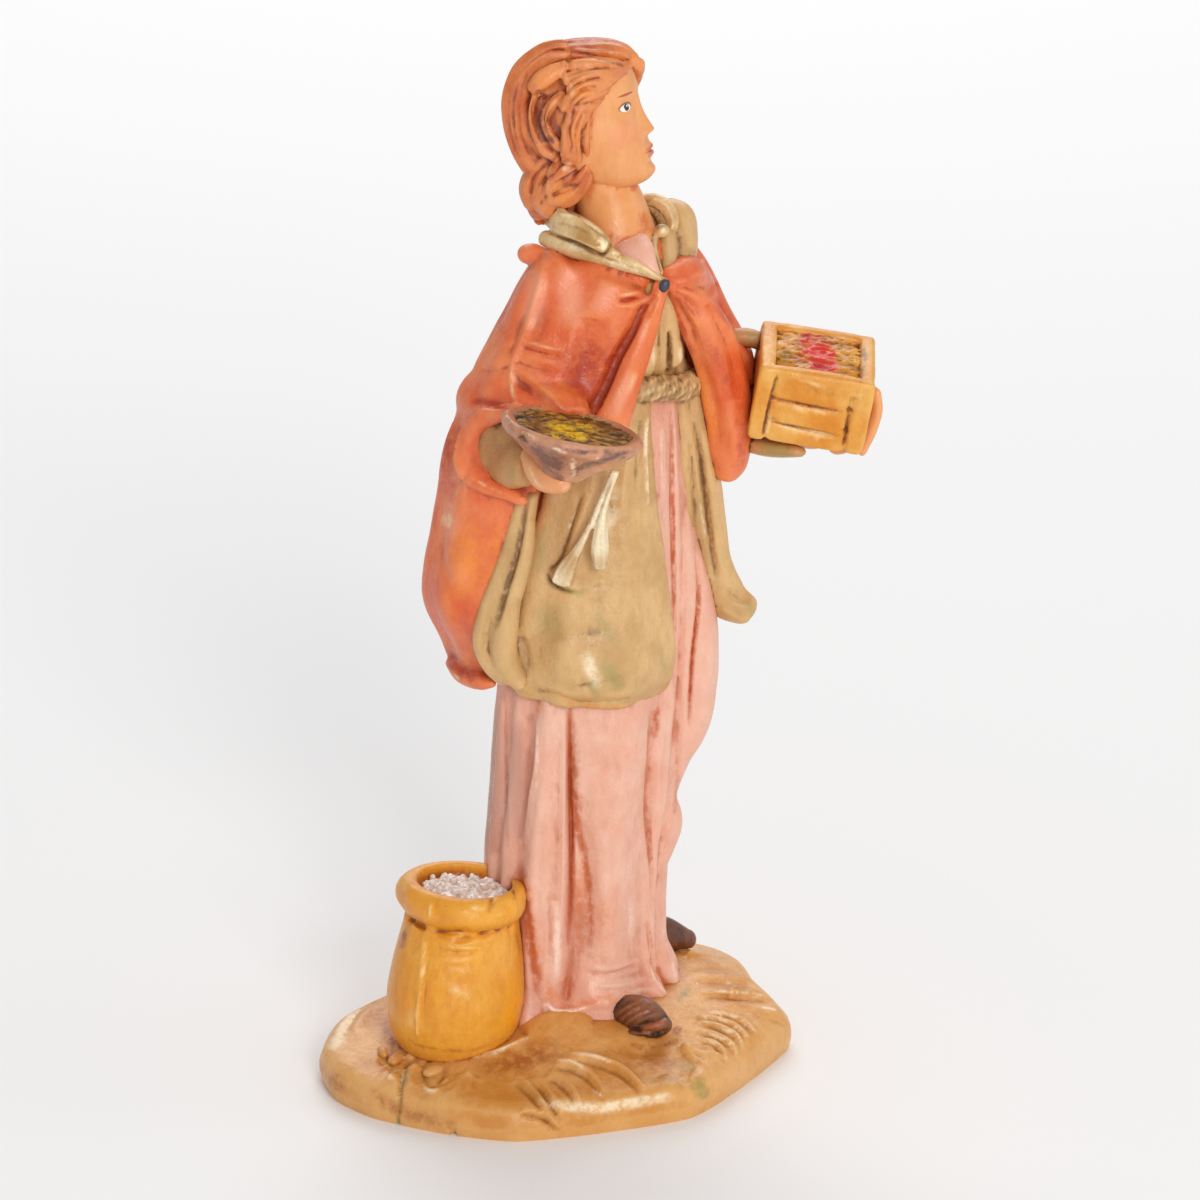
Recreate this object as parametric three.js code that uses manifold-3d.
// Presepe figure: a young woman in a cape and smock, moulded in one piece with the sack beside her,
// the bowl in her right hand, the crate on her left arm and the ground that she stands on.
// Millimetres, +Z up. The origin is the middle of the flat underside, and she faces -Y.
import * as THREE from "three";
import { ParametricGeometry } from "three/addons/geometries/ParametricGeometry.js";
import { RoundedBoxGeometry } from "three/addons/geometries/RoundedBoxGeometry.js";
import { mergeVertices } from "three/addons/utils/BufferGeometryUtils.js";
import Module from "manifold-3d";

const wasm = await Module();
wasm.setup();

// Driving dimensions
const figureHeight = 124; // underside of the base to the crown
const baseWidth = 60; // along X
const baseDepth = 44.5; // along Y
const baseRim = 4.6; // height of the base's edge
const moundRise = 3.8; // how far the ground swells above the edge under her feet
const sackHeight = 21;
const sackWidth = 15.8;
const sackMouthDepth = 1.6; // how far the salt lies below the rolled rim
const bowlWidth = 15.8;
const bowlHeight = 5.4;
const crateLength = 12.8;
const crateDepth = 11.8;
const crateHeight = 9.6;
const crateBoard = 1.1; // thickness of the crate's rim
const crateMouthDepth = 0.8; // how far the crate's contents lie below its rim
const sackSink = 2; // how deep the sack is set into the ground
const holdSink = 0.4; // how deep the bowl and the crate are set into the hands

// Where she and the sack stand on the base
const stand = { x: 0.083 * baseWidth, y: 0.022 * baseDepth };
const sackStand = { x: -0.253 * baseWidth, y: 0.081 * baseDepth };
// Her own forms are laid out for this height and this ground under her feet, and scaled to the figure's
const layoutHeight = 124;
const layoutGround = 8.4;

const degrees = THREE.MathUtils.degToRad;
const step = THREE.MathUtils.smoothstep;
const { clamp, lerp } = THREE.MathUtils;
const bell = (distance, width) => Math.exp(-((distance / width) ** 2));
// The shortest turn from one angle to another, in degrees
const turnBetween = (angle, other) => ((((angle - other) % 360) + 540) % 360) - 180;

// The height of the ground: level at the rim, and swelling to a mound under her feet
function groundAt(x, y) {
  const reach = Math.hypot((x - stand.x) / 1.25, y - stand.y);
  return baseRim + moundRise * (1 - step(reach, 0.16 * baseDepth, 0.52 * baseDepth));
}

const ground = groundAt(stand.x, stand.y);
const scale = (figureHeight - ground) / (layoutHeight - layoutGround);
// A point of her layout, on the base
const onBase = ([x, y, z]) => [
  stand.x + scale * x,
  stand.y + scale * y,
  ground + scale * (z - layoutGround),
];

// A smooth curve through rows of numbers, at a share t of the way along
function spline(rows, t) {
  const place = clamp(t, 0, 1) * (rows.length - 1);
  const i = Math.min(Math.floor(place), rows.length - 2);
  const s = place - i;
  return rows[0].map((_, k) => {
    const b = rows[i][k];
    const c = rows[i + 1][k];
    const a = i > 0 ? rows[i - 1][k] : 2 * b - c;
    const d = i + 2 < rows.length ? rows[i + 2][k] : 2 * c - b;
    const cubic = 3 * (b - c) + d - a;
    const square = 2 * a - 5 * b + 4 * c - d;
    return b + 0.5 * s * (c - a + s * (square + s * cubic));
  });
}

// A closed surface as a solid
function solid(geometry) {
  const bare = geometry.clone();
  bare.deleteAttribute("normal");
  bare.deleteAttribute("uv");
  const merged = mergeVertices(bare, 1e-4);
  const index = merged.index.array;
  const kept = [];
  for (let i = 0; i < index.length; i += 3) {
    const [a, b, c] = [index[i], index[i + 1], index[i + 2]];
    if (a !== b && b !== c && c !== a) kept.push(a, b, c);
  }
  return new wasm.Manifold(
    new wasm.Mesh({
      numProp: 3,
      vertProperties: merged.attributes.position.array,
      triVerts: new Uint32Array(kept),
    }),
  );
}

const join = (solids) => wasm.Manifold.union(solids);

// A solid swept along rows of [x, y, z, half width, half thickness]. The width lies along `side`,
// square to the path. Each end closes in a dome of the given length, or flat.
// `relief` pushes a point of the skin out by an amount for (angle in degrees, share along), and
// `bearing` gives the angle of a column of points, which stand evenly if it is left out.
function sweep({
  rows,
  side = [1, 0, 0],
  sides = 14,
  rings = 8,
  domes = [0, 0],
  relief = () => 0,
  bearing = (u) => 360 * u,
}) {
  const reach = new THREE.Vector3(...side);
  const endRows = domes.map((dome) => (dome > 0 ? 2 : 1));
  const stacks = endRows[0] + rings + endRows[1];
  const at = (t) => new THREE.Vector3(...spline(rows, t));
  const skin = (u, v, target) => {
    const row = v * stacks;
    const low = Math.min(row / endRows[0], 1);
    const high = Math.min((stacks - row) / endRows[1], 1);
    const t = clamp((row - endRows[0]) / rings, 0, 1);
    const girth = Math.sin((Math.min(low, high) * Math.PI) / 2);
    const push = domes[1] * Math.cos((high * Math.PI) / 2) - domes[0] * Math.cos((low * Math.PI) / 2);
    const along = at(Math.min(t + 0.01, 1)).sub(at(Math.max(t - 0.01, 0))).normalize();
    const across = reach.clone().addScaledVector(along, -reach.dot(along)).normalize();
    const out = along.clone().cross(across);
    const [x, y, z, width, thickness] = spline(rows, t);
    const angle = bearing(u, t);
    const extra = relief(angle, t);
    target
      .set(x, y, z)
      .addScaledVector(along, push)
      .addScaledVector(across, girth * (width + extra) * Math.cos(degrees(angle)))
      .addScaledVector(out, girth * (thickness + extra) * Math.sin(degrees(angle)));
  };
  return solid(new ParametricGeometry(skin, sides, stacks));
}

function place(geometry, at, turn = [0, 0, 0]) {
  const euler = new THREE.Euler(...turn.map(degrees), "ZYX");
  const matrix = new THREE.Matrix4().makeRotationFromEuler(euler);
  return solid(geometry.applyMatrix4(matrix).translate(...at));
}

// A flattened ball with its middle at `at`, turned by degrees about X, Y and Z
function ball(at, size, turn = [0, 0, 0], sides = 12) {
  const geometry = new THREE.SphereGeometry(1, sides, Math.round(sides * 0.6));
  return place(geometry.scale(...size), at, turn);
}

// Pleats hang down a skirt. Each is [angle at the foot, angle at the head, half width, height]
function pleated(pleats, fade) {
  return (angle, t) => {
    const strength = 1 - step(t, fade[0], fade[1]);
    const rise = (sum, [foot, head, width, height]) =>
      sum + height * bell(turnBetween(angle, lerp(foot, head, t)), width);
    return strength * pleats.reduce(rise, 0);
  };
}

// A garment that is open between two edges, each an angle that changes along it. A share of its columns
// crosses the cloth from one edge round to the other, and the rest cross the gap, which is pressed in.
function opened(from, to, depth, clothShare) {
  const bearing = (u, t) => {
    if (u < clothShare) return lerp(to(t) - 360, from(t), u / clothShare);
    return lerp(from(t), to(t), (u - clothShare) / (1 - clothShare));
  };
  const press = (angle, t) => {
    const edge = 7;
    const inside = step(angle, from(t), from(t) + edge) * (1 - step(angle, to(t) - edge, to(t)));
    return depth(t) * inside;
  };
  return { bearing, press };
}

// Base: an uneven slab of ground with a rounded edge, swelling to a mound under her feet
function makeBase() {
  const corners = [
    [0.5, 0.14], [0.4, 0.4], [0.1, 0.5], [-0.29, 0.46], [-0.49, 0.2],
    [-0.38, -0.33], [-0.1, -0.5], [0.34, -0.38], [0.48, -0.1],
  ].map(([x, y]) => new THREE.Vector2(x * baseWidth, y * baseDepth));
  const outline = new THREE.SplineCurve([...corners, corners[0]]);
  const edgeRows = 3;
  const topRows = 5;
  const shoulder = 0.8; // drop of the rounded top edge
  const skin = (u, v, target) => {
    const edge = outline.getPoint(u);
    const row = v * (1 + edgeRows + topRows);
    // The first row spans the flat underside, the next rows climb the edge, and the rest cross the top
    const under = Math.min(row, 1);
    const climb = clamp((row - 1) / edgeRows, 0, 1);
    const inward = clamp((row - 1 - edgeRows) / topRows, 0, 1);
    const bulge = 0.97 + 0.03 * Math.sin(Math.PI * climb);
    const share = under * bulge * (1 - inward);
    const x = edge.x * share;
    const y = edge.y * share;
    const edgeTop = baseRim - shoulder;
    target.set(x, y, lerp(climb * edgeTop, groundAt(x, y), step(inward, 0, 0.3)));
  };
  return solid(new ParametricGeometry(skin, 34, 1 + edgeRows + topRows));
}

// Sack: an open bag of salt with a rolled rim, leaning a little
function makeSack() {
  const r = sackWidth / 2;
  const h = sackHeight;
  const bag = sweep({
    rows: [
      [0, 0, 0, 0.88 * r, 0.86 * r],
      [0, 0, 0.14 * h, 0.99 * r, 0.97 * r],
      [0, 0, 0.34 * h, r, 0.98 * r],
      [0, -0.1, 0.54 * h, 0.9 * r, 0.88 * r],
      [0, -0.1, 0.66 * h, 0.82 * r, 0.8 * r],
      [0, -0.1, 0.76 * h, 0.95 * r, 0.92 * r],
      [0, -0.1, 0.88 * h, 0.98 * r, 0.94 * r],
      [0, -0.1, h, 0.8 * r, 0.76 * r],
    ],
    sides: 16,
    rings: 9,
  });
  const mouthFloor = h - sackMouthDepth;
  const mouth = sweep({
    rows: [
      [0, -0.1, mouthFloor, 0.58 * r, 0.54 * r],
      [0, -0.1, h + 1, 0.74 * r, 0.7 * r],
    ],
    sides: 12,
    rings: 1,
  });
  const salt = ball([0, -0.1, mouthFloor - 0.2], [0.64 * r, 0.6 * r, 0.8]);
  const foot = groundAt(sackStand.x, sackStand.y) - sackSink;
  return join([bag.subtract(mouth), salt]).rotate([4, 3, 30]).translate([sackStand.x, sackStand.y, foot]);
}

// The rest is laid out on her own axis, with the ground at layoutGround and her crown at layoutHeight

function makeSkirt() {
  const folds = pleated(
    [
      [257, 258, 15, 1.5], [207, 209, 8, 1.5], [182, 184, 6, 0.9], [163, 165, 6, 1.0],
      [293, 291, 6, 1.0], [316, 312, 8, 0.8], [340, 338, 8, 1.0], [5, 3, 9, 1.2],
      [32, 31, 9, 1.1], [60, 59, 10, 1.4], [88, 88, 9, 1.2], [114, 114, 9, 1.4], [139, 140, 8, 1.1],
    ],
    [0.35, 1.4],
  );
  const core = sweep({
    rows: [
      [-1.8, 1.2, 7.0, 11.6, 8.6],
      [-1.9, 1.3, 14, 11.2, 8.5],
      [-1.7, 1.2, 25, 11.2, 8.6],
      [-0.9, 0.6, 36, 11.3, 8.9],
      [0.1, 0.0, 50, 11.3, 9.2],
      [1.2, -1.0, 68, 9.8, 8.2],
      [2.0, -1.7, 86, 7.6, 6.4],
    ],
    sides: 42,
    rings: 5,
    relief: (angle, t) => folds(angle, t) + 1.3 * bell(t, 0.08),
  });
  // The cloth over the left knee, which drops away under it in two steps
  const knee = sweep({
    rows: [
      [5.2, -4.6, 23.5, 1.6, 1.8],
      [6.2, -5.0, 28.6, 2.4, 2.6],
      [5.8, -4.8, 32.5, 2.2, 2.6],
      [6.8, -5.4, 37.5, 2.8, 3.2],
      [8.4, -6.2, 43.0, 3.6, 3.4],
      [8.4, -6.4, 54, 3.8, 3.4],
      [6.0, -5.0, 68, 3.0, 2.8],
      [4.4, -3.6, 80, 2.2, 2.2],
    ],
    side: [0.8, -0.6, 0],
    sides: 9,
    rings: 8,
    domes: [1, 0],
  });
  return join([core, knee]);
}

function makeSmock() {
  const folds = pleated(
    [
      [250, 254, 12, 0.8], [216, 226, 8, 0.8], [190, 200, 7, 0.8], [160, 170, 8, 0.7],
      [345, 340, 10, 0.8], [20, 15, 9, 0.8], [55, 55, 10, 0.8], [90, 90, 10, 0.8], [125, 125, 9, 0.8],
    ],
    [0.5, 1.2],
  );
  // Down the front the smock is open, from just beside the middle to her left side
  const { bearing, press } = opened(
    (t) => lerp(291, 262, step(t, 0.3, 0.9)),
    (t) => lerp(324, 300, t),
    () => 3.2,
    0.85,
  );
  const coat = sweep({
    rows: [
      [-0.8, 0.1, 47.0, 11.0, 9.6],
      [-0.8, 0.0, 48.2, 12.6, 10.9],
      [-0.7, 0.0, 54, 13.0, 11.1],
      [0.3, -0.6, 66, 11.9, 10.0],
      [1.4, -1.4, 78, 9.8, 8.4],
      [2.0, -1.7, 86, 8.6, 7.4],
    ],
    sides: 40,
    rings: 5,
    relief: (angle, t) => folds(angle, t) - press(angle, t),
    bearing,
  });
  // Its left front hangs as a strip whose corner turns out
  const strip = sweep({
    rows: [
      [8.0, -6.8, 84, 1.8, 1.6],
      [9.8, -7.2, 74, 2.1, 1.6],
      [10.9, -7.4, 66.5, 2.2, 1.5],
      [11.5, -7.6, 61, 2.3, 1.6],
      [12.7, -8.5, 56.6, 2.6, 1.8],
      [14.8, -10.0, 54.6, 1.9, 1.9],
    ],
    side: [0.55, -0.45, 0.7],
    sides: 8,
    rings: 7,
    domes: [0, 1],
  });
  return join([coat, strip]);
}

function makeTorso() {
  return sweep({
    rows: [
      [1.6, -1.7, 80, 8.2, 6.6],
      [1.6, -1.7, 88, 8.8, 7.0],
      [2.2, -1.6, 95, 8.8, 7.0],
      [2.2, -1.4, 100, 7.6, 5.6],
      [2.0, -1.4, 103, 4.6, 4.4],
    ],
    sides: 14,
    rings: 3,
  });
}

// Two soft folds of the smock above the belt, and the belt: a thick rope round the waist
function makeBodice() {
  const fold = (x, lean) =>
    sweep({
      rows: [
        [x - lean, -8.0, 86.5, 1.7, 1.5],
        [x, -8.6, 91, 1.4, 1.3],
        [x + lean, -8.6, 96.5, 0.8, 0.9],
      ],
      sides: 8,
      rings: 3,
      domes: [0.6, 0.4],
    });
  const belt = sweep({
    rows: [
      [-6.0, -5.6, 85.4, 1.5, 1.3],
      [-2.8, -8.2, 85.6, 1.6, 1.5],
      [2.2, -9.4, 85.4, 1.7, 1.6],
      [7.0, -7.8, 84.8, 1.6, 1.5],
      [9.8, -4.8, 84.4, 1.5, 1.3],
    ],
    side: [0, 0, 1],
    sides: 8,
    rings: 9,
  });
  return { bodice: join([fold(0.4, 0.5), fold(3.6, -0.6)]), belt };
}

function makeCape() {
  const folds = pleated(
    [
      [100, 95, 9, 1.3], [72, 75, 8, 1.1], [46, 52, 8, 1.2], [20, 28, 8, 1.0],
      [128, 118, 9, 1.0], [154, 140, 8, 0.9], [184, 176, 9, 0.7],
    ],
    [0.3, 0.95],
  );
  // The front lies open: wide below the forearms, narrowing to the clasp
  const { bearing, press } = opened(
    (t) => lerp(195, 222, step(t, 0, 0.4)) + 44 * step(t, 0.55, 0.84),
    (t) => lerp(348, 280, step(t, 0.55, 0.86)),
    (t) => 8 * (1 - step(t, 0.82, 0.92)),
    0.75,
  );
  const back = sweep({
    rows: [
      [-2.0, 5.0, 49.2, 11.6, 8.4],
      [-2.2, 4.8, 50.8, 14.4, 10.6],
      [-2.0, 4.2, 57.5, 17.2, 12.0],
      [-1.5, 3.2, 66, 17.1, 11.6],
      [-1.0, 2.0, 75, 16.6, 11.0],
      [0.0, 1.0, 83, 15.2, 10.0],
      [1.0, 0.0, 90, 12.8, 9.0],
      [1.8, -1.0, 96.5, 10.2, 8.0],
      [2.0, -1.4, 99.8, 7.2, 6.4],
      [2.0, -1.4, 101.4, 4.4, 4.2],
    ],
    sides: 40,
    rings: 8,
    relief: (angle, t) => folds(angle, t) - press(angle, t),
    bearing,
  });
  const fold = (rows, side) => sweep({ rows, side, sides: 8, rings: 4, domes: [0.8, 0.8] });
  const rightArm = fold(
    [
      [-5.0, -1.6, 98.0, 3.5, 3.5],
      [-7.2, -0.4, 94.8, 3.6, 3.6],
      [-8.6, 1.6, 90.0, 3.5, 3.5],
      [-10.0, 3.6, 85.6, 3.8, 3.8],
      [-11.0, 4.2, 82.2, 4.2, 4.2],
    ],
    [1, 0.3, 0.5],
  );
  // The cape is folded back over the right forearm
  const cuff = fold(
    [
      [-11.4, 7.0, 82.6, 3.6, 3.8],
      [-12.3, 3.0, 81.8, 4.6, 4.6],
      [-12.2, -1.5, 82.4, 4.3, 3.8],
      [-10.6, -5.6, 83.2, 3.8, 3.2],
      [-8.2, -8.0, 83.8, 2.8, 2.6],
    ],
    [1, 0, 0],
  );
  const rightFront = fold(
    [
      [-2.2, -7.6, 96.2, 3.8, 2.2],
      [-4.6, -6.8, 91.2, 4.6, 2.0],
      [-6.8, -6.0, 86.0, 5.0, 1.9],
      [-8.0, -5.8, 82.6, 4.8, 1.7],
    ],
    [1, -0.5, 0],
  );
  const rightEdge = fold(
    [
      [1.0, -10.6, 96.8, 0.9, 0.9],
      [-1.5, -10.4, 91.5, 1.5, 1.4],
      [-3.6, -10.0, 86.8, 2.0, 1.6],
      [-5.4, -9.4, 81.6, 2.4, 1.5],
      [-6.2, -8.8, 78.8, 2.0, 1.2],
    ],
    [1, 0, 0],
  );
  const leftArm = fold(
    [
      [8.8, -1.6, 97.8, 3.3, 3.3],
      [11.0, -2.2, 94.8, 3.6, 3.6],
      [13.0, -3.4, 89.5, 3.7, 3.7],
      [14.4, -5.8, 84.4, 3.7, 3.8],
      [14.4, -8.2, 80.6, 3.0, 3.2],
    ],
    [1, 0.2, 0.4],
  );
  const leftFront = fold(
    [
      [2.8, -10.4, 96.6, 1.0, 1.1],
      [6.6, -10.4, 92.4, 2.6, 1.8],
      [9.4, -10.2, 86.5, 3.1, 2.4],
      [11.6, -10.2, 80.0, 2.8, 2.5],
      [12.2, -9.8, 74.0, 2.3, 2.1],
      [12.0, -9.4, 71.8, 1.5, 1.5],
    ],
    [0.8, -0.5, 0.2],
  );
  const leftChest = fold(
    [
      [2.6, -9.8, 97.4, 1.1, 1.1],
      [6.2, -8.4, 96.6, 2.2, 2.0],
      [9.6, -5.4, 94.4, 3.0, 2.8],
      [11.8, -4.2, 90.0, 3.4, 3.0],
    ],
    [0, 0.3, 1],
  );
  return join([back, rightArm, cuff, rightFront, rightEdge, leftArm, leftFront, leftChest]);
}

function makeCollar() {
  return sweep({
    rows: [
      [2.2, -9.6, 98.2, 0.6, 0.6],
      [-1.4, -8.2, 99.9, 1.9, 0.9],
      [-4.6, -5.0, 101.5, 2.3, 1.0],
      [-5.0, 0.2, 103.2, 2.2, 1.0],
      [-2.0, 3.8, 104.2, 2.2, 1.0],
      [3.2, 4.4, 103.8, 2.2, 1.0],
      [7.2, 1.8, 102.6, 2.2, 1.0],
      [8.2, -2.6, 101.2, 2.3, 1.0],
      [6.2, -6.8, 99.8, 1.9, 0.9],
      [3.0, -9.8, 98.2, 0.6, 0.6],
    ],
    side: [0, 0, 1],
    sides: 7,
    rings: 16,
  });
}

function makeArms() {
  const part = (rows, side = [1, 0, 0], sides = 10) =>
    sweep({ rows, side, sides, rings: 4, domes: [1, 0.8] });
  const rightSleeve = part([
    [-11.4, 5.0, 80.2, 3.2, 3.4],
    [-13.6, 1.5, 78.4, 3.8, 4.2],
    [-14.6, -4.0, 77.8, 3.6, 4.0],
    [-14.8, -8.2, 78.2, 3.0, 3.4],
  ]);
  const rightHand = part(
    [
      [-15.0, -7.6, 79.0, 1.9, 1.8],
      [-14.8, -10.8, 78.4, 2.6, 1.7],
      [-14.6, -13.8, 78.2, 3.0, 1.5],
      [-14.0, -16.6, 79.0, 2.4, 1.2],
    ],
    [1, 0, 0],
    8,
  );
  const leftSleeve = part([
    [15.2, -5.0, 81.0, 3.4, 3.4],
    [16.2, -10.0, 78.6, 3.4, 3.2],
    [18.4, -14.4, 76.8, 3.0, 2.4],
  ]);
  const leftHand = part(
    [
      [18.4, -13.4, 76.6, 2.2, 1.5],
      [21.4, -16.6, 76.0, 2.6, 1.3],
      [23.6, -19.0, 77.2, 2.3, 1.2],
      [24.3, -20.1, 80.0, 1.8, 1.0],
    ],
    [-0.6, 0.8, 0],
    8,
  );
  return { sleeves: join([rightSleeve, leftSleeve]), hands: join([rightHand, leftHand]) };
}

// The bowl and the crate keep their own size. Each is made standing on the origin, and then
// turned and set down where the hand carries it.
function makeBowl() {
  const r = bowlWidth / 2;
  const h = bowlHeight;
  const dish = sweep({
    rows: [
      [0, 0, -holdSink, 0.3 * r, 0.3 * r],
      [0, 0, 0.3 * h, 0.56 * r, 0.54 * r],
      [0, 0, 0.72 * h, 0.9 * r, 0.86 * r],
      [0, 0, h, r, 0.96 * r],
    ],
    sides: 20,
    rings: 4,
  });
  const heap = ball([0, 0, h - 0.2], [0.9 * r, 0.86 * r, 0.8]);
  const carried = onBase([-15.2, -13.0, 78.7]);
  return join([dish, heap]).rotate([3, 8, 0]).rotate([0, 0, -40]).translate(carried);
}

function makeCrate() {
  const [l, d, h] = [crateLength, crateDepth, crateHeight];
  const groove = 0.35; // half the depth of the grooves between planks
  const rounding = 0.6;
  const box = place(new RoundedBoxGeometry(l, d, h, 1, rounding), [0, 0, h / 2]);
  const [insideX, insideY] = [l - 2 * crateBoard, d - 2 * crateBoard];
  const inside = place(new THREE.BoxGeometry(insideX, insideY, 2 * crateMouthDepth), [0, 0, h]);
  const heapRise = 1.2;
  const heap = ball([0, 0, h - heapRise], [0.5 * insideX, 0.5 * insideY, heapRise], [0, 0, 0], 10);
  const cuts = [];
  for (const side of [-1, 1]) {
    const y = (side * d) / 2;
    for (const x of [-0.34, 0.34])
      cuts.push(place(new THREE.BoxGeometry(0.4, 2 * groove, h * 0.72), [x * l, y, 0.44 * h]));
    for (const z of [0.28, 0.6])
      cuts.push(place(new THREE.BoxGeometry(l * 0.66, 2 * groove, 0.35), [0, y, z * h]));
  }
  const made = join([box.subtract(join([inside, ...cuts])), heap]).translate([0, 0, -holdSink]);
  return made.rotate([7.3, 8.5, -47.1]).translate(onBase([19.27, -14.87, 78.0]));
}

// The head is shaped upright with its face to -Y, then turned to her left and tilted up
const headAt = [-1.5, 1.7, 114.98];
const headTurn = [-8, 0, 35];

function makeHead() {
  const both = (x, place, width) => bell(x - place, width) + bell(x + place, width);
  const skin = (u, v, target) => {
    // The columns stand closer together across the face
    const around = u * 2 * Math.PI + 0.45 * Math.cos(u * 2 * Math.PI);
    const up = (v - 0.5) * Math.PI;
    const girth = Math.cos(up);
    const z = 8.9 * Math.sin(up) - 0.6;
    const low = step(-z, 1.5, 9);
    const x = 5.8 * (1 - 0.25 * low) * girth * Math.cos(around);
    const y = 7.4 * (1 - 0.1 * low) * girth * Math.sin(around) - 0.8;
    const nose = 1.8 * bell(x, 1.0) * bell(z + 3.7, 1.0) + 1.0 * bell(x, 0.9) * bell(z + 1.8, 1.6);
    const mouth = 0.5 * bell(x, 1.3) * bell(z + 5.7, 0.7);
    const chin = 1.4 * bell(x, 1.8) * bell(z + 8.2, 1.2);
    const eyes = 0.7 * both(x, 2.3, 1.2) * bell(z + 0.4, 0.9);
    target.set(x, y - (nose + mouth + chin - eyes) * step(-y, 0, 4), z);
  };
  return solid(new ParametricGeometry(skin, 26, 20)).rotate(headTurn).translate(headAt);
}

function makeNeck() {
  return sweep({
    rows: [
      [2.0, -1.4, 98, 6.0, 5.2],
      [1.7, -1.3, 102.5, 4.0, 3.9],
      [0.5, -0.4, 107, 3.4, 3.6],
      [-0.4, 0.4, 111, 3.6, 3.8],
    ],
    sides: 12,
    rings: 4,
  });
}

function makeHair() {
  const cap = ball([0, 0.9, 1.0], [6.9, 7.4, 8.1], [0, 0, 0], 15);
  const lock = (rows, side = [0, 0.4, 1]) => sweep({ rows, side, sides: 7, rings: 4, domes: [0.6, 0.6] });
  const locksAtSide = (s) => [
    // from the parting over the temple to above the ear
    lock([
      [0.8 * s, -5.0, 6.6, 1.1, 1.1],
      [3.4 * s, -4.4, 5.2, 1.8, 1.5],
      [5.4 * s, -2.0, 2.6, 2.1, 1.7],
      [6.0 * s, 0.8, -0.6, 2.0, 1.6],
    ]),
    // over the ear and down to the nape
    lock(
      [
        [5.6 * s, -0.9, 1.4, 1.4, 1.4],
        [6.0 * s, 0.2, -2.4, 2.0, 1.7],
        [5.0 * s, 1.6, -6.4, 2.2, 1.9],
        [3.4 * s, 3.2, -9.4, 2.0, 1.7],
      ],
      [0, 1, 0.3],
    ),
  ];
  const quiff = lock(
    [
      [0.8, -6.6, 5.6, 0.9, 0.9],
      [0.6, -5.6, 6.8, 1.6, 1.1],
      [0, -3.0, 7.6, 2.2, 1.1],
      [-0.4, 0.4, 8.0, 2.4, 1.1],
    ],
    [1, 0, 0],
  );
  const bun = ball([0, 4.4, -8.8], [4.4, 3.0, 3.6]);
  const strands = [-1, 1].flatMap(locksAtSide);
  return join([cap, quiff, bun, ...strands]).rotate(headTurn).translate(headAt);
}

// A round clasp on her breast, and the two tasselled ends of the belt cord
function makeTrims() {
  const clasp = ball([1.9, -11.4, 97.0], [0.8, 0.6, 1.0], [0, 20, 0], 8);
  const tassel = (x, y, z, lean) =>
    sweep({
      rows: [
        [-5.6, -9.6, 79.6, 0.6, 0.6],
        [-6.4 + 0.4 * lean, -9.8, 74.0, 0.6, 0.6],
        [x + 0.6, y, z + 5.0, 0.6, 0.6],
        [x, y, z, 1.3, 1.0],
      ],
      sides: 6,
      rings: 4,
      domes: [0.3, 0.4],
    });
  return { clasp, tassels: join([tassel(-9.4, -7.8, 63.6, -1), tassel(-7.0, -9.8, 64.4, 1)]) };
}

function makeShoes() {
  const shoe = (rows) => sweep({ rows, sides: 9, rings: 4, domes: [1, 1.2] });
  return join([
    shoe([
      [-3.2, -6.0, 9.4, 2.4, 2.2],
      [-3.6, -10.4, 9.0, 2.8, 2.2],
      [-3.0, -14.0, 8.0, 2.3, 1.4],
    ]),
    shoe([
      [8.0, 5.0, 10.2, 2.2, 2.4],
      [12.4, 4.2, 9.6, 2.5, 2.3],
      [15.8, 3.2, 8.6, 2.0, 1.5],
    ]),
  ]);
}

// One moulding: her own forms, moved onto the base at the figure's scale, and all the rest fused
const her = {
  skirt: makeSkirt(),
  smock: makeSmock(),
  torso: makeTorso(),
  ...makeBodice(),
  cape: makeCape(),
  collar: makeCollar(),
  ...makeArms(),
  head: makeHead(),
  neck: makeNeck(),
  hair: makeHair(),
  ...makeTrims(),
  shoes: makeShoes(),
};
const forms = { base: makeBase(), sack: makeSack(), bowl: makeBowl(), crate: makeCrate() };
for (const [name, form] of Object.entries(her))
  forms[name] = form.scale([scale, scale, scale]).translate(onBase([0, 0, 0]));
const moulding = join(Object.values(forms)).getMesh();
const geometry = new THREE.BufferGeometry();
geometry.setAttribute("position", new THREE.BufferAttribute(moulding.vertProperties, 3));
geometry.setIndex(new THREE.BufferAttribute(moulding.triVerts, 1));
geometry.computeVertexNormals();

const figure = new THREE.Mesh(
  geometry,
  new THREE.MeshStandardMaterial({ color: 0xd98a55, roughness: 0.45, metalness: 0 }),
);
figure.name = "presepe_figure";

const group = new THREE.Group();
group.add(figure);

export default group;
